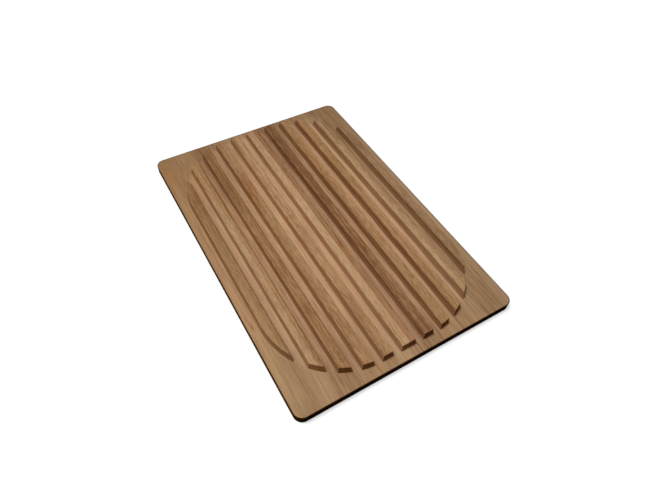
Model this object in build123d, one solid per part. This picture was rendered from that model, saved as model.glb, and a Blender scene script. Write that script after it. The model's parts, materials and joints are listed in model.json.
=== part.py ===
"""Ridged bread board: a panel glued up from solid-wood staves, then milled on its top face.

Frame: origin in the middle of the underside, +Z up, +Y along the grain and the ridges.
"""
import os
from math import copysign, radians, tan

from build123d import *

# Panel, in millimetres
BOARD_WIDTH = 300.0
BOARD_LENGTH = 440.0
BOARD_CORNER_RADIUS = 11.0
BASE_THICKNESS = 12.5
EDGE_ROUNDING = 1.0

# Ridges, measured at their feet, on the level of the border and the groove floors
BORDER_WIDTH = 12.75
FIELD_CORNER_RADIUS = 101.0
RIDGE_HEIGHT = 10.5
RIDGES_EACH_SIDE = 5
CENTRE_RIDGE_WIDTH = 20.5
GROOVE_WIDTH = 10.4
WALL_DRAFT = 7.6  # degrees from upright
ARRIS_CHAMFER = 0.5

# How far a glue line lies off the middle of the groove or the ridge that it runs along
GROOVE_LINE_OFFSET = 3.5
RIDGE_LINE_OFFSET = 1.0

# Sizes that follow from those above
BOARD_HEIGHT = BASE_THICKNESS + RIDGE_HEIGHT
FIELD_WIDTH = BOARD_WIDTH - 2 * BORDER_WIDTH
FIELD_LENGTH = BOARD_LENGTH - 2 * BORDER_WIDTH
RIDGE_PITCH = (FIELD_WIDTH - CENTRE_RIDGE_WIDTH) / (2 * RIDGES_EACH_SIDE)
FIRST_GROOVE = (CENTRE_RIDGE_WIDTH + GROOVE_WIDTH) / 2
WALL_LEAN = RIDGE_HEIGHT * tan(radians(WALL_DRAFT))


def groove_middle(number):
    """Where a groove's middle lies. Grooves count from 1 to the right and from -1 to the left."""
    return copysign(FIRST_GROOVE + (abs(number) - 1) * RIDGE_PITCH, number)


def ridge_middle(number):
    """Where a ridge's middle lies. The centre ridge is 0."""
    if number == 0:
        return 0.0
    return groove_middle(number) + copysign(RIDGE_PITCH / 2, number)


def make_base():
    """The low part of the panel, with rounded corners and eased edges."""
    slab = extrude(RectangleRounded(BOARD_WIDTH, BOARD_LENGTH, BOARD_CORNER_RADIUS), BASE_THICKNESS)
    faces = slab.faces().sort_by(Axis.Z)
    return fillet(faces[0].edges() + faces[-1].edges(), EDGE_ROUNDING)


def make_groove(number):
    """One groove's cut, wider at its mouth, which runs out of the field at both ends."""
    half_floor = GROOVE_WIDTH / 2
    half_mouth = half_floor + WALL_LEAN
    profile = Polyline(
        (-half_floor, BASE_THICKNESS),
        (half_floor, BASE_THICKNESS),
        (half_mouth, BOARD_HEIGHT),
        (-half_mouth, BOARD_HEIGHT),
        close=True,
    )
    cut = extrude(Plane.XZ * make_face(profile), BOARD_LENGTH / 2, both=True)
    return Pos(X=groove_middle(number)) * cut


def make_ridges():
    """The raised field, drafted all round, cut into ridges and eased along their top edges."""
    foot = RectangleRounded(FIELD_WIDTH, FIELD_LENGTH, FIELD_CORNER_RADIUS)
    field = extrude(Plane.XY.offset(BASE_THICKNESS) * foot, RIDGE_HEIGHT, taper=WALL_DRAFT)
    for number in range(1, RIDGES_EACH_SIDE + 1):
        field -= make_groove(number)
        field -= make_groove(-number)
    tops = field.faces().group_by(Axis.Z)[-1]
    return chamfer(tops.edges(), ARRIS_CHAMFER)


def glue_lines():
    """Where the staves meet, from the left."""
    return [
        groove_middle(-5) - GROOVE_LINE_OFFSET,
        ridge_middle(-4) + RIDGE_LINE_OFFSET,
        groove_middle(-3) - GROOVE_LINE_OFFSET,
        ridge_middle(-2) + RIDGE_LINE_OFFSET,
        groove_middle(-1) - GROOVE_LINE_OFFSET,
        ridge_middle(0) + RIDGE_LINE_OFFSET,
        groove_middle(2) + GROOVE_LINE_OFFSET,
        groove_middle(3),
        groove_middle(4),
        groove_middle(5),
    ]


def stave_name(index, count):
    """The outer staves are named for their side, and those between are numbered from the left."""
    if index == 0:
        return "left_edge_stave"
    if index == count - 1:
        return "right_edge_stave"
    return f"stave_{index + 1:02d}"


def cut_stave(panel, left, right):
    """The share of the milled panel that lies between two glue lines."""
    between = Pos((left + right) / 2, 0, BOARD_HEIGHT / 2) * Box(right - left, BOARD_LENGTH, BOARD_HEIGHT)
    return panel & between


os.makedirs("parts", exist_ok=True)
panel = make_base() + make_ridges()
sides = [-BOARD_WIDTH / 2, *glue_lines(), BOARD_WIDTH / 2]
staves = [cut_stave(panel, left, right) for left, right in zip(sides[:-1], sides[1:])]
for index, stave in enumerate(staves):
    export_step(stave, f"parts/{stave_name(index, len(staves))}.step")
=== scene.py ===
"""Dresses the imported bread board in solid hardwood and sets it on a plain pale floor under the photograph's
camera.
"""
import json
import math
from dataclasses import dataclass

import bpy
from mathutils import Matrix, Vector


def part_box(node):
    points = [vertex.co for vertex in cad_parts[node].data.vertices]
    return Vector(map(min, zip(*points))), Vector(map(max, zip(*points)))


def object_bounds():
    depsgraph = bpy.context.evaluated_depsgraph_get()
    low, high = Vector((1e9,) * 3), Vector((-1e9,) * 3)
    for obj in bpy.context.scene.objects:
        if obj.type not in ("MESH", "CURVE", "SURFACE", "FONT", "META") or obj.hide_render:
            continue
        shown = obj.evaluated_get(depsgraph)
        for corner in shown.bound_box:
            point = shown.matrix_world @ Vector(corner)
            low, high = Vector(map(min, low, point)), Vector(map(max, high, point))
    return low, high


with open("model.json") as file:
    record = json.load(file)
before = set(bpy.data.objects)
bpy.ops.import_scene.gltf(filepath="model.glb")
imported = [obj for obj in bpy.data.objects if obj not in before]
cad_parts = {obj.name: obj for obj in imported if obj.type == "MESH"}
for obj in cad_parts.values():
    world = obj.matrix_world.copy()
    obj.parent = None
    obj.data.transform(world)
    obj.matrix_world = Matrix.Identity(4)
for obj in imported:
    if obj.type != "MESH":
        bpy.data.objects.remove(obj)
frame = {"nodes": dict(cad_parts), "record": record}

cad_low, cad_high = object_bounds()

MM = 0.001

# Photograph: its width, and the camera fitted to the board's edges and ridges, in pixels and degrees
PHOTO_WIDTH = 650
FOCAL_PIXELS = 508.2
CAMERA_AZIMUTH = -32.95
CAMERA_ELEVATION = 52.47
CAMERA_ROLL = 3.34
CAMERA_DISTANCE = 659.9 * MM
CAMERA_TARGET = Vector((-12.72, -40.36, 12.5)) * MM
CAMERA_NEAR = 10.0 * MM
SENSOR_WIDTH = 36.0

# Light, angles in degrees: a soft key from almost overhead, a weak even fill, a floor with little bounce
KEY_STRENGTH = 2.95
KEY_SOFTNESS = 22.0
KEY_LEAN_BACK = 9.0
KEY_LEAN_LEFT = 15.8
FILL_STRENGTH = 0.09
FLOOR_SIZE = 12.0
FLOOR_SEEN = 0.45
FLOOR_BOUNCE = 0.06
FLOOR_LIFT = 0.57
FLOOR_GAP = 0.2 * MM

# Board in millimetres: its corners, the border round its milled field, the levels of groove floors and ridges
BOARD_CORNER_RADIUS = 11.0
BORDER_WIDTH = 12.75
FIELD_CORNER_RADIUS = 101.0
BORDER_LEVEL = 12.5
RIDGE_LEVEL = cad_high.z / MM

# How far the field and the wood inside the dark edge are set in from the left, right, front and back
FIELD_INSETS = (BORDER_WIDTH, BORDER_WIDTH, BORDER_WIDTH, BORDER_WIDTH)
RIM_INSETS = (0.4, 1.2, 0.85, 1.7)

# Where field and dark edge fade, in millimetres from their outlines, and between which heights sunk wood does
FIELD_FADE = (-3.0, 4.0)
RIM_FADE = (-0.3, 0.3)
SUNK_FADE = (BORDER_LEVEL + 1.0, RIDGE_LEVEL - 0.6)

# By a face's normal: where it begins to look up, stops being a wall, becomes end grain, and lies in shade
FACING_UP = (0.02, 0.1)
WALL_LIMIT = (0.2, 0.5)
FACING_ALONG = (0.3, 0.85)
FACING_RIGHT = (0.3, 0.7)

# Mean colour of the wood in each of the record's slots, as linear values
TONES = {row["slot"]: Vector(row["base_color"]) for row in frame["record"]["materials"]}

# What the grooves and the border have in common from stave to stave, and how much of it shows
# The paler groove tone is in part painted light, making up for the shade that the ridges cast into the
# grooves
GROOVE_TONE = Vector((0.470, 0.305, 0.186))
GROOVE_MIX = 0.45
BORDER_TONE = Vector((0.336, 0.215, 0.122))
BORDER_MIX = 0.55

# Tints that multiply those colours: plain and dark wood, warm places, pores, end grain, painted shade, edges
PLAIN_TINT = (1.34, 1.42, 1.50, 1.0)
LINE_TINT = (0.66, 0.58, 0.50, 1.0)
YELLOW_TINT = (1.00, 1.015, 0.975, 1.0)
RED_TINT = (1.01, 0.98, 0.985, 1.0)
ORANGE_TINT = (1.08, 0.90, 0.66, 1.0)
PORE_TINT = (0.55, 0.47, 0.40, 1.0)
# End grain is darker, as such wood is, and deeper in tone with painted shade on the ends
END_GRAIN_SHADE_TINT = (0.85, 0.72, 0.56, 1.0)
# Painted shade: a deeper tone on walls, and a warmer one on faces turned right, away from the key
WALL_SHADE_TINT = (1.01, 0.91, 0.81, 1.0)
SHADED_TINT = (1.35, 1.05, 0.75, 1.0)
RIM_TINT = (0.25, 0.18, 0.12, 1.0)

# Darkness of the figure: its mean, what each layer adds, and how much calmer it is in sunk wood
MEAN_DARKNESS = 0.5
RING_WEIGHT = 0.28
STREAK_WEIGHT = 0.32
THREAD_WEIGHT = 0.30
CLOUD_WEIGHT = 0.15
GRAIN_WEIGHT = 0.55
GRAIN_LINE_WEIGHT = 0.40
SUNK_CALM = 0.45

# Year rings, in millimetres: where a log's heart lies, how far apart they are, and the steps between staves
HEART_ASIDE = 50.0
HEART_ASIDE_STEP = 17.0
HEART_BELOW = 35.0
HEART_BELOW_STEP = 13.0
RING_SPACING = 1.9
RING_SPACING_STEP = 0.25

# One ring: between which parts of its year it darkens and ends, its least strength, and its mean darkness
RING_RISE = (0.1, 0.9)
RING_FALL = (0.92, 1.0)
FAINTEST_RING = 0.3
MEAN_RING = 0.3

# Pores: cells a millimetre along each axis, a pore's edge in its cell, which cells have one, how dark it is
PORE_CELLS = (0.9, 0.2, 0.9)
PORE_EDGE = (0.10, 0.24)
PORE_CHANCE = (0.4, 0.55)
PORE_SHARE = 0.6

# Painted shade along the board in millimetres: darker towards the back, and in the grooves towards the front
# too
BACK_SHADE_SPAN = (20.0, 215.0)
BACK_SHADE = 0.87
FRONT_SHADE_SPAN = (-210.0, -80.0)
FRONT_DARKENING = 0.13

# Surface: the shade of single fibres, the roughness of plain and dark wood, the relief of fibres and pores
FIBRE_SHADE = (0.92, 1.08)
ROUGHNESS = (0.62, 0.74)
FIBRE_RELIEF = 0.4
PORE_RELIEF = -1.0
RELIEF_STRENGTH = 0.5
RELIEF_DEPTH = 0.12 * MM


@dataclass
class Layer:
    """One layer of noise in the wood: how fast it changes a millimetre across and along the grain, its detail
    and roughness, and which of its values count as the lowest and the highest."""
    across: float
    along: float
    detail: float
    roughness: float = 0.5
    low: float = 0.0
    high: float = 1.0


# Layers of noise, and what goes with two of them: the sway's width, and the weakest place in a broken patch
SWAY = Layer(0.012, 0.0035, 2.0)
SWAY_WIDTH = 12.0
BREAKS = Layer(0.3, 0.012, 4.0, 0.5, 0.35, 0.6)
WEAKEST_PATCH = 0.3
STREAKS = Layer(0.45, 0.006, 4.0, 0.55, 0.32, 0.68)
CLOUDS = Layer(0.03, 0.007, 2.0, 0.5, 0.35, 0.65)
FLECKS = Layer(2.0, 0.08, 3.0, 0.65, 0.32, 0.68)
LINES = Layer(1.4, 0.02, 3.0, 0.65, 0.32, 0.68)
THREADS = Layer(0.7, 0.004, 2.0, 0.5, 0.56, 0.68)
WARMTH = Layer(0.12, 0.012, 3.0, 0.5, 0.35, 0.65)
FIBRES = Layer(3.2, 0.05, 3.0, 0.5, 0.25, 0.75)

# How far apart in the noise two neighbouring staves lie, in millimetres
STAVE_STEP = Vector((137.0, 811.0, 59.0))


@dataclass
class Patch:
    """Wood that differs from its stave: its middle and half its size in millimetres, how much darker it is,
    or lighter where that is below 0, and how much more orange."""
    x: float
    y: float
    half_width: float
    half_length: float
    darkness: float
    orange: float = 0.0


@dataclass
class Stave:
    """One stave's wood: its shade and coolness against its slot's tone, how strong its lines are, and the
    patches in it."""
    shade: float
    cool: float
    lines: float
    patches: tuple = ()


# Each stave's wood, from the left. A patch of full length reaches past both ends of the board
FULL_LENGTH = 450.0
STAVES = {
    "left_edge_stave": Stave(0.93, 0.0, 0.5, (
        Patch(-145, -30, 11, 260, -0.95, 0.4), Patch(-138, -175, 20, 60, -0.45),
        Patch(-140, 185, 25, 90, -0.1, 0.8), Patch(-144, -97, 2.5, 10, 1.4, 1.0),
        Patch(-146, -84, 2, 9, 0.6, 0.6), Patch(-127, 115, 12, 70, 0.4, 0.2),
        Patch(-138, -100, 18, 90, -0.35), Patch(-142, 90, 8, 60, 0.0, 0.35))),
    "stave_02": Stave(0.93, 0.0, 0.7, (
        Patch(-118, 0, 6, FULL_LENGTH, 0.3), Patch(-112, -200, 30, 60, -0.1),
        Patch(-110, 170, 20, 100, 0.15, 0.7), Patch(-116, -130, 6, 50, -0.35), Patch(-116, 75, 6, 50, 0.3))),
    "stave_03": Stave(1.05, 0.0, 1.5, (
        Patch(-101, 0, 8, FULL_LENGTH, -0.7), Patch(-80, 150, 14, 150, 0.2), Patch(-77, 90, 9, 80, 0.25),
        Patch(-76, 0, 8, FULL_LENGTH, 0.2), Patch(-96, 110, 6, 80, 0.8, 0.8), Patch(-79, -100, 9, 60, -0.3),
        Patch(-90, 215, 20, 25, 0.1, 0.5), Patch(-90.5, -130, 6, 100, -0.35), Patch(-90, 160, 7, 60, 0.35))),
    "stave_04": Stave(1.20, 0.05, 1.0, (
        Patch(-56, 95, 7, 60, 0.35, 0.8), Patch(-65, -35, 7, 140, -0.35))),
    "stave_05": Stave(1.22, 0.07, 0.9, (
        Patch(-50, 100, 5, 50, 0.4, 0.8), Patch(-28, -150, 12, 90, 0.4), Patch(-44, -200, 3, 28, 0.5, 1.0),
        Patch(-40, -10, 8, 260, -0.55), Patch(-35, 0, 3, FULL_LENGTH, 0.1), Patch(-28, 110, 9, 130, -0.3))),
    "stave_06": Stave(1.13, 0.03, 0.5, (
        Patch(-11, 0, 3, FULL_LENGTH, 0.25), Patch(-6, 190, 14, 110, 0.3), Patch(-6, -175, 14, 60, 0.3),
        Patch(-14, 185, 5, 70, -0.45), Patch(-14, -185, 5, 60, -0.35), Patch(-9, -213, 8, 15, -0.35))),
    "stave_07": Stave(1.27, 0.08, 2.4, (
        Patch(3, 0, 10, FULL_LENGTH, -0.65), Patch(5, -55, 6, 30, 0.35, 0.8),
        Patch(5, 150, 8, 110, -0.6, 0.3), Patch(5, -180, 8, 90, -0.4),
        Patch(12.5, 0, 3, FULL_LENGTH, 0.3), Patch(24, 0, 16, FULL_LENGTH, 0.35),
        Patch(28, -60, 9, 30, 0.4, 0.5), Patch(28, -110, 16, 70, 0.35), Patch(17.5, -135, 6, 110, -0.6),
        Patch(17.5, 185, 6, 90, 0.55), Patch(43.5, -100, 4, 55, -0.5), Patch(43.5, 33, 4, 55, -0.5),
        Patch(42.5, 175, 6, 90, 0.5))),
    "stave_08": Stave(1.09, 0.03, 1.1, (
        Patch(47, 0, 3.5, FULL_LENGTH, 0.8), Patch(51, 0, 2, FULL_LENGTH, 0.3),
        Patch(53, 130, 9, 150, 0.2, 0.4), Patch(57, -62, 4, 25, 0.4, 0.5))),
    "stave_09": Stave(1.07, 0.02, 1.0, (
        Patch(72.5, 0, 3, FULL_LENGTH, 0.8), Patch(79, -170, 11, 150, 0.3),
        Patch(79, 150, 10, 110, 0.0, 0.4), Patch(68.5, 0, 3, FULL_LENGTH, -0.35))),
    "stave_10": Stave(0.80, -0.03, 0.9, (
        Patch(94, 0, 4, FULL_LENGTH, -0.7), Patch(102, 0, 7, FULL_LENGTH, -0.3),
        Patch(114, 0, 12, FULL_LENGTH, 0.5), Patch(110, -210, 30, 60, 0.3), Patch(107, 214, 24, 18, 0.7))),
    "right_edge_stave": Stave(0.94, 0.12, 0.7, (
        Patch(119, 0, 8, FULL_LENGTH, 0.6), Patch(135, 190, 25, 80, 0.4, 0.35), Patch(125, -210, 40, 60, 0.5),
        Patch(142, -20, 8, 300, -0.75), Patch(140, -160, 16, 60, 0.6), Patch(130, 105, 8, 45, 0.3),
        Patch(120, 145, 5, 80, 0.5))),
}


class Shading:
    """A node tree built up by short calls, most of which return the new node's output."""

    def __init__(self, tree):
        self.tree = tree

    def feed(self, socket, value):
        if isinstance(value, bpy.types.NodeSocket):
            self.tree.links.new(value, socket)
        else:
            socket.default_value = value

    def node(self, kind, inputs=(), **settings):
        node = self.tree.nodes.new(kind)
        for name, value in settings.items():
            setattr(node, name, value)
        for key, value in dict(inputs).items():
            self.feed(node.inputs[key], value)
        return node

    def math(self, operation, *values):
        return self.node("ShaderNodeMath", enumerate(values), operation=operation).outputs[0]

    def vector(self, operation, *values):
        return self.node("ShaderNodeVectorMath", enumerate(values), operation=operation).outputs[0]

    def length(self, vector):
        return self.node("ShaderNodeVectorMath", {0: vector}, operation="LENGTH").outputs["Value"]

    def axis(self, vector, name):
        return self.node("ShaderNodeSeparateXYZ", {0: vector}).outputs[name]

    def ramp(self, value, low, high, out_low=0.0, out_high=1.0):
        inputs = enumerate((value, low, high, out_low, out_high))
        return self.node("ShaderNodeMapRange", inputs, interpolation_type="SMOOTHSTEP").outputs[0]

    def blend(self, share, first, second, blend_type="MIX"):
        """Two colours in one. The Mix node takes colours at its sockets 6 and 7 and gives one at 2."""
        inputs = {0: share, 6: first, 7: second}
        return self.node("ShaderNodeMix", inputs, data_type="RGBA", blend_type=blend_type).outputs[2]

    def weighed_sum(self, start, *terms):
        total = start
        for value, share in terms:
            total = self.math("MULTIPLY_ADD", value, share, total)
        return total

    def noise(self, place, layer):
        """A layer's noise node, stretched along the grain."""
        stretched = self.vector("MULTIPLY", place, (layer.across, layer.along, layer.across))
        inputs = {"Vector": stretched, "Scale": 1.0, "Detail": layer.detail, "Roughness": layer.roughness}
        return self.node("ShaderNodeTexNoise", inputs)

    def spread(self, place, layer, lowest=-0.5, highest=0.5):
        """A layer's noise, spread between two values."""
        return self.ramp(self.noise(place, layer).outputs[0], layer.low, layer.high, lowest, highest)

    def seen(self):
        """1 for what the camera sees, also mirrored or through glass, and 0 for what only gives light."""
        path = self.node("ShaderNodeLightPath").outputs
        mirrored = self.math("MAXIMUM", path["Is Glossy Ray"], path["Is Transmission Ray"])
        return self.math("MAXIMUM", path["Is Camera Ray"], mirrored)


def wood_place(shading, seed):
    """A point of the board in millimetres, the same swayed as the grain sways, and that moved to where this
    stave lies in the noise."""
    point = shading.node("ShaderNodeTexCoord").outputs["Object"]
    place = shading.vector("MULTIPLY", point, (1 / MM, 1 / MM, 1 / MM))
    moved = shading.vector("ADD", place, STAVE_STEP * seed)
    sway = shading.noise(moved, SWAY).outputs["Color"]
    half = SWAY_WIDTH / 2
    shift = shading.vector("MULTIPLY_ADD", sway, (SWAY_WIDTH, 0.0, SWAY_WIDTH), (-half, 0.0, -half))
    return place, shading.vector("ADD", place, shift), shading.vector("ADD", moved, shift)


def growth_rings(shading, swayed, heart, spacing):
    """How dark the year rings are round a log's heart that lies at heart = (x, z) from the board."""
    from_heart = shading.vector("SUBTRACT", swayed, (heart[0], 0.0, heart[1]))
    distance = shading.length(shading.vector("MULTIPLY", from_heart, (1.0, 0.0, 1.0)))
    years = shading.math("DIVIDE", distance, spacing)
    within = shading.math("FRACT", years)
    rise = shading.ramp(within, *RING_RISE)
    fall = shading.ramp(within, *RING_FALL, 1.0, 0.0)
    year = shading.math("FLOOR", years)
    chance = shading.node("ShaderNodeTexWhiteNoise", {"W": year}, noise_dimensions="1D").outputs["Value"]
    strength = shading.math("MULTIPLY_ADD", chance, 1.0 - FAINTEST_RING, FAINTEST_RING)
    ring = shading.math("MULTIPLY", shading.math("MULTIPLY", rise, fall), strength)
    return shading.math("SUBTRACT", ring, MEAN_RING)


def pores(shading, own):
    """Short dark vessel lines along the grain, which show as dots on the end grain."""
    stretched = shading.vector("MULTIPLY", own, PORE_CELLS)
    cells = shading.node("ShaderNodeTexVoronoi", {"Vector": stretched, "Scale": 1.0})
    inside = shading.ramp(cells.outputs["Distance"], *PORE_EDGE, 1.0, 0.0)
    chance = shading.node("ShaderNodeSeparateColor", {0: cells.outputs["Color"]}).outputs[0]
    return shading.math("MULTIPLY", inside, shading.ramp(chance, *PORE_CHANCE))


def bump(shading, value, middle, half_size):
    """1 at the middle, falling smoothly to 0 at half_size to either side."""
    offset = shading.math("ABSOLUTE", shading.math("SUBTRACT", value, middle))
    return shading.ramp(offset, 0.0, half_size, 1.0, 0.0)


def patch_shares(shading, place, own, patches):
    """What a stave's patches add to its darkness and to its orange, broken up along the grain."""
    darkness = 0.0
    orange = 0.0
    broken = shading.spread(own, BREAKS, WEAKEST_PATCH, 1.0)
    for patch in patches:
        across = bump(shading, shading.axis(place, "X"), patch.x, patch.half_width)
        along = bump(shading, shading.axis(place, "Y"), patch.y, patch.half_length)
        share = shading.math("MULTIPLY", shading.math("MULTIPLY", across, along), broken)
        darkness = shading.math("MULTIPLY_ADD", share, patch.darkness, darkness)
        if patch.orange:
            orange = shading.math("MULTIPLY_ADD", share, patch.orange, orange)
    return darkness, orange


def beyond_core(shading, place, insets, radius):
    """How far a point lies outside the core of a rounded rectangle that is set in from the board's edges.
    On the rectangle's outline that is its corner radius."""
    left, right, front, back = insets
    middle = ((left - right) / 2, (front - back) / 2, 0.0)
    core = (cad_high.x / MM - (left + right) / 2 - radius, cad_high.y / MM - (front + back) / 2 - radius, 0.0)
    from_middle = shading.vector("ABSOLUTE", shading.vector("SUBTRACT", place, middle))
    from_core = shading.vector("SUBTRACT", from_middle, core)
    beyond = shading.vector("MAXIMUM", from_core, (0.0, 0.0, 0.0))
    return shading.length(shading.vector("MULTIPLY", beyond, (1.0, 1.0, 0.0)))


def field_share(shading, place):
    """1 within the outline of the milled field, 0 on the border round it."""
    reach = beyond_core(shading, place, FIELD_INSETS, FIELD_CORNER_RADIUS)
    inner, outer = FIELD_FADE
    return shading.ramp(reach, FIELD_CORNER_RADIUS + inner, FIELD_CORNER_RADIUS + outer, 1.0, 0.0)


def rim_share(shading, place):
    """1 on the board's edge and its rounding, 0 elsewhere."""
    reach = beyond_core(shading, place, RIM_INSETS, BOARD_CORNER_RADIUS)
    inner, outer = RIM_FADE
    return shading.ramp(reach, BOARD_CORNER_RADIUS + inner, BOARD_CORNER_RADIUS + outer)


def own_tone(tone, stave):
    """The slot's tone as this stave has it."""
    red, green, blue = tone * stave.shade
    return Vector((red * (1.0 - stave.cool / 2), green, blue * (1.0 + stave.cool)))


def surface_tone(shading, place, normal, tone):
    """The stave's own tone on the ridges, paler in the grooves, in part as painted light against the shade
    that the ridges cast there, and more even on the border. Also returns where the wood is sunk, and where it
    is sunk within the field."""
    groove = (*tone.lerp(GROOVE_TONE, GROOVE_MIX), 1.0)
    border = (*tone.lerp(BORDER_TONE, BORDER_MIX), 1.0)
    field = field_share(shading, place)
    facing_up = shading.ramp(shading.axis(normal, "Z"), *FACING_UP)
    low = shading.ramp(shading.axis(place, "Z"), *SUNK_FADE, 1.0, 0.0)
    sunk = shading.math("MULTIPLY", facing_up, low)
    base = shading.blend(sunk, (*tone, 1.0), shading.blend(field, border, groove))
    return base, sunk, shading.math("MULTIPLY", sunk, field)


def figure_darkness(shading, own, stave, chosen, rings, sunk):
    """How dark the figure is: the stave's patches, rings and layers, with flecks on the ridges and longer,
    calmer lines in sunk wood."""
    streaks = shading.spread(own, STREAKS)
    clouds = shading.spread(own, CLOUDS)
    flecks = shading.spread(own, FLECKS)
    lines = shading.spread(own, LINES)
    threads = shading.spread(own, THREADS, 0.0, 1.0)
    grain = shading.weighed_sum(flecks, (shading.math("SUBTRACT", lines, flecks), sunk))
    figure = shading.weighed_sum(
        chosen,
        (rings, RING_WEIGHT * stave.lines),
        (streaks, STREAK_WEIGHT * stave.lines),
        (clouds, CLOUD_WEIGHT),
        (grain, GRAIN_WEIGHT + GRAIN_LINE_WEIGHT * stave.lines),
        (threads, THREAD_WEIGHT * stave.lines),
    )
    contrast = shading.math("MULTIPLY_ADD", sunk, -SUNK_CALM, 1.0)
    return shading.math("MULTIPLY_ADD", figure, contrast, MEAN_DARKNESS)


def figure_colour(shading, own, base, darkness, orange):
    """The wood's tone with its figure, yellower in some places and redder or more orange in others."""
    colour = shading.blend(1.0, base, shading.blend(darkness, PLAIN_TINT, LINE_TINT), "MULTIPLY")
    warmth = shading.spread(own, WARMTH, 0.0, 1.0)
    colour = shading.blend(1.0, colour, shading.blend(warmth, YELLOW_TINT, RED_TINT), "MULTIPLY")
    return shading.blend(orange, colour, ORANGE_TINT, "MULTIPLY")


def painted_shade_along(shading, place, groove):
    """Painted shade: the wood is a little darker towards the back, and in the grooves towards the front too.
    """
    along = shading.axis(place, "Y")
    # Painted shade, darker towards the back
    back = shading.ramp(along, *BACK_SHADE_SPAN, 1.0, BACK_SHADE)
    front = shading.math("MULTIPLY", groove, shading.ramp(along, *FRONT_SHADE_SPAN, FRONT_DARKENING, 0.0))
    return shading.math("SUBTRACT", back, front)


def grey(shading, level):
    """A colour node of equal red, green and blue."""
    return shading.node("ShaderNodeCombineColor", {0: level, 1: level, 2: level}).outputs[0]


def shaded_fibre_pore_colour(shading, colour, painted_shade, fibres, holes):
    """The colour with painted shade along the board, single fibres that are paler or darker, and dark pores.
    """
    shade = shading.math("MULTIPLY", painted_shade, shading.ramp(fibres, FIBRES.low, FIBRES.high, *FIBRE_SHADE))
    colour = shading.blend(1.0, colour, grey(shading, shade), "MULTIPLY")
    return shading.blend(shading.math("MULTIPLY", holes, PORE_SHARE), colour, PORE_TINT, "MULTIPLY")


def face_colour(shading, colour, place, normal):
    """The colour on end grain, darker as such wood is and deepened by painted shade, painted shade on walls
    and on faces away from the light, and the dark edge.
    """
    ends = shading.ramp(shading.math("ABSOLUTE", shading.axis(normal, "Y")), *FACING_ALONG)
    # End grain, darker as such wood is, with painted shade deepening its tone
    colour = shading.blend(ends, colour, END_GRAIN_SHADE_TINT, "MULTIPLY")
    slope = shading.math("ABSOLUTE", shading.axis(normal, "Z"))
    steep = shading.ramp(slope, *WALL_LIMIT, 1.0, 0.0)
    wall = shading.math("MULTIPLY", shading.ramp(slope, *FACING_UP), steep)
    # Painted shade on walls
    colour = shading.blend(wall, colour, WALL_SHADE_TINT, "MULTIPLY")
    shaded = shading.ramp(shading.axis(normal, "X"), *FACING_RIGHT)
    # Painted shade on faces turned right, away from the key
    colour = shading.blend(shaded, colour, SHADED_TINT, "MULTIPLY")
    return shading.blend(rim_share(shading, place), colour, RIM_TINT, "MULTIPLY")


def fine_relief(shading, fibres, holes):
    """The shading normal over raised fibres and sunk pores."""
    height = shading.math("MULTIPLY_ADD", fibres, FIBRE_RELIEF, shading.math("MULTIPLY", holes, PORE_RELIEF))
    inputs = {"Strength": RELIEF_STRENGTH, "Distance": RELIEF_DEPTH, "Height": height}
    return shading.node("ShaderNodeBump", inputs).outputs["Normal"]


def wood_material(name, tone, stave, seed, heart, spacing):
    """Solid hardwood for one stave, the same through and through, with its grain along Y."""
    material = bpy.data.materials.new(name)
    material.use_nodes = True
    shading = Shading(material.node_tree)
    shader = material.node_tree.nodes["Principled BSDF"]
    normal = shading.node("ShaderNodeNewGeometry").outputs["Normal"]

    place, swayed, own = wood_place(shading, seed)
    rings = growth_rings(shading, swayed, heart, spacing)
    fibres = shading.noise(own, FIBRES).outputs[0]
    holes = pores(shading, own)
    base, sunk, groove = surface_tone(shading, place, normal, own_tone(tone, stave))
    chosen, orange = patch_shares(shading, place, own, stave.patches)
    darkness = figure_darkness(shading, own, stave, chosen, rings, sunk)

    colour = figure_colour(shading, own, base, darkness, orange)
    # Painted shade along the board, with the fibres' own shade and the pores
    colour = shaded_fibre_pore_colour(shading, colour, painted_shade_along(shading, place, groove), fibres, holes)
    colour = face_colour(shading, colour, place, normal)
    shading.feed(shader.inputs["Base Color"], colour)
    shading.feed(shader.inputs["Roughness"], shading.ramp(darkness, 0.0, 1.0, *ROUGHNESS))
    shading.feed(shader.inputs["Normal"], fine_relief(shading, fibres, holes))
    shader.inputs["Specular IOR Level"].default_value = 0.0
    return material


def dress_staves():
    """Gives every stave wood of its own, cut from its own place in a log."""
    slots = {row["node"]: row["material_slot"] for row in frame["record"]["subparts"]}
    for index, (name, stave) in enumerate(STAVES.items()):
        low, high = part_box(name)
        middle = (low.x + high.x) / 2 / MM
        side = 1 if index % 2 else -1
        heart_x = middle + side * (HEART_ASIDE + HEART_ASIDE_STEP * (index % 3))
        heart_z = -HEART_BELOW - HEART_BELOW_STEP * (index % 4)
        spacing = RING_SPACING + RING_SPACING_STEP * (index % 3)
        tone = TONES[slots[name]]
        wood = wood_material(name + "_wood", tone, stave, index + 1, (heart_x, heart_z), spacing)
        board = frame["nodes"][name]
        board.data.materials.clear()
        board.data.materials.append(wood)


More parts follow.
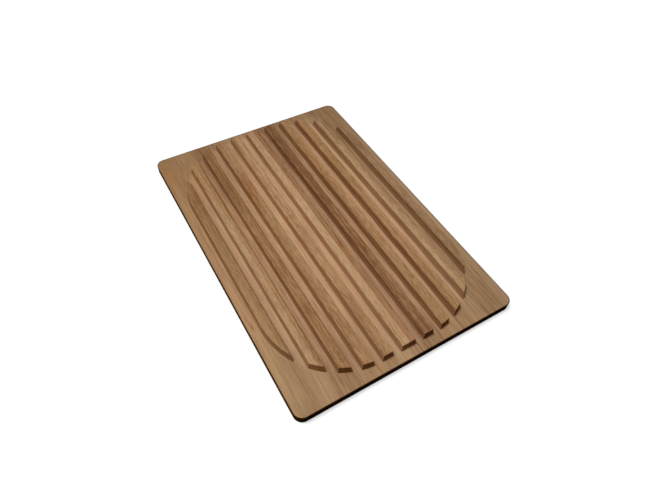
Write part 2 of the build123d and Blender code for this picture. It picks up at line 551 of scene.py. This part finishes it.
def make_floor():
    """A plain pale floor. What the camera sees is nearly white, and what lights the board is weaker."""
    bpy.ops.mesh.primitive_plane_add(size=FLOOR_SIZE, location=(0, 0, cad_low.z - FLOOR_GAP))
    floor = bpy.context.object
    floor.name = "floor"
    material = bpy.data.materials.new("floor_paper")
    material.use_nodes = True
    material.node_tree.nodes.clear()
    shading = Shading(material.node_tree)
    seen = shading.seen()
    level = shading.ramp(seen, 0.0, 1.0, FLOOR_BOUNCE, FLOOR_SEEN)
    paper = shading.node("ShaderNodeBsdfDiffuse", {"Color": grey(shading, level)})
    lift = shading.node("ShaderNodeEmission", {"Strength": shading.math("MULTIPLY", seen, FLOOR_LIFT)})
    both = shading.node("ShaderNodeAddShader", {0: paper.outputs[0], 1: lift.outputs[0]})
    shading.node("ShaderNodeOutputMaterial", {"Surface": both.outputs[0]})
    floor.data.materials.append(material)


def make_light():
    """The soft key from almost overhead, and the world as an even fill behind a white background."""
    lamp = bpy.data.lights.new("key", "SUN")
    lamp.energy = KEY_STRENGTH
    lamp.angle = math.radians(KEY_SOFTNESS)
    key = bpy.data.objects.new("key", lamp)
    key.rotation_euler = (-math.radians(KEY_LEAN_BACK), -math.radians(KEY_LEAN_LEFT), 0.0)
    bpy.context.scene.collection.objects.link(key)

    world = bpy.data.worlds.new("studio")
    world.use_nodes = True
    shading = Shading(world.node_tree)
    background = world.node_tree.nodes["Background"]
    background.inputs["Color"].default_value = (1.0, 1.0, 1.0, 1.0)
    shading.feed(background.inputs["Strength"], shading.ramp(shading.seen(), 0.0, 1.0, FILL_STRENGTH, 1.0))
    bpy.context.scene.world = world


def make_camera():
    """The photograph's camera, turned a little about its own axis."""
    azimuth = math.radians(CAMERA_AZIMUTH)
    elevation = math.radians(CAMERA_ELEVATION)
    roll = math.radians(CAMERA_ROLL)
    level = math.cos(elevation)
    back = Vector((math.sin(azimuth) * level, -math.cos(azimuth) * level, math.sin(elevation)))
    right = Vector((0, 0, 1)).cross(back).normalized()
    up = back.cross(right)
    turned_right = right * math.cos(roll) + up * math.sin(roll)
    turned_up = up * math.cos(roll) - right * math.sin(roll)
    lens = bpy.data.cameras.new("photo_camera")
    lens.sensor_width = SENSOR_WIDTH
    lens.lens = FOCAL_PIXELS * SENSOR_WIDTH / PHOTO_WIDTH
    lens.clip_start = CAMERA_NEAR
    camera = bpy.data.objects.new("photo_camera", lens)
    turn = Matrix((turned_right, turned_up, back)).transposed().to_4x4()
    camera.matrix_world = Matrix.Translation(CAMERA_TARGET + back * CAMERA_DISTANCE) @ turn
    bpy.context.scene.collection.objects.link(camera)
    bpy.context.scene.camera = camera


dress_staves()
make_floor()
make_light()
make_camera()
bpy.context.scene.view_settings.view_transform = "Standard"
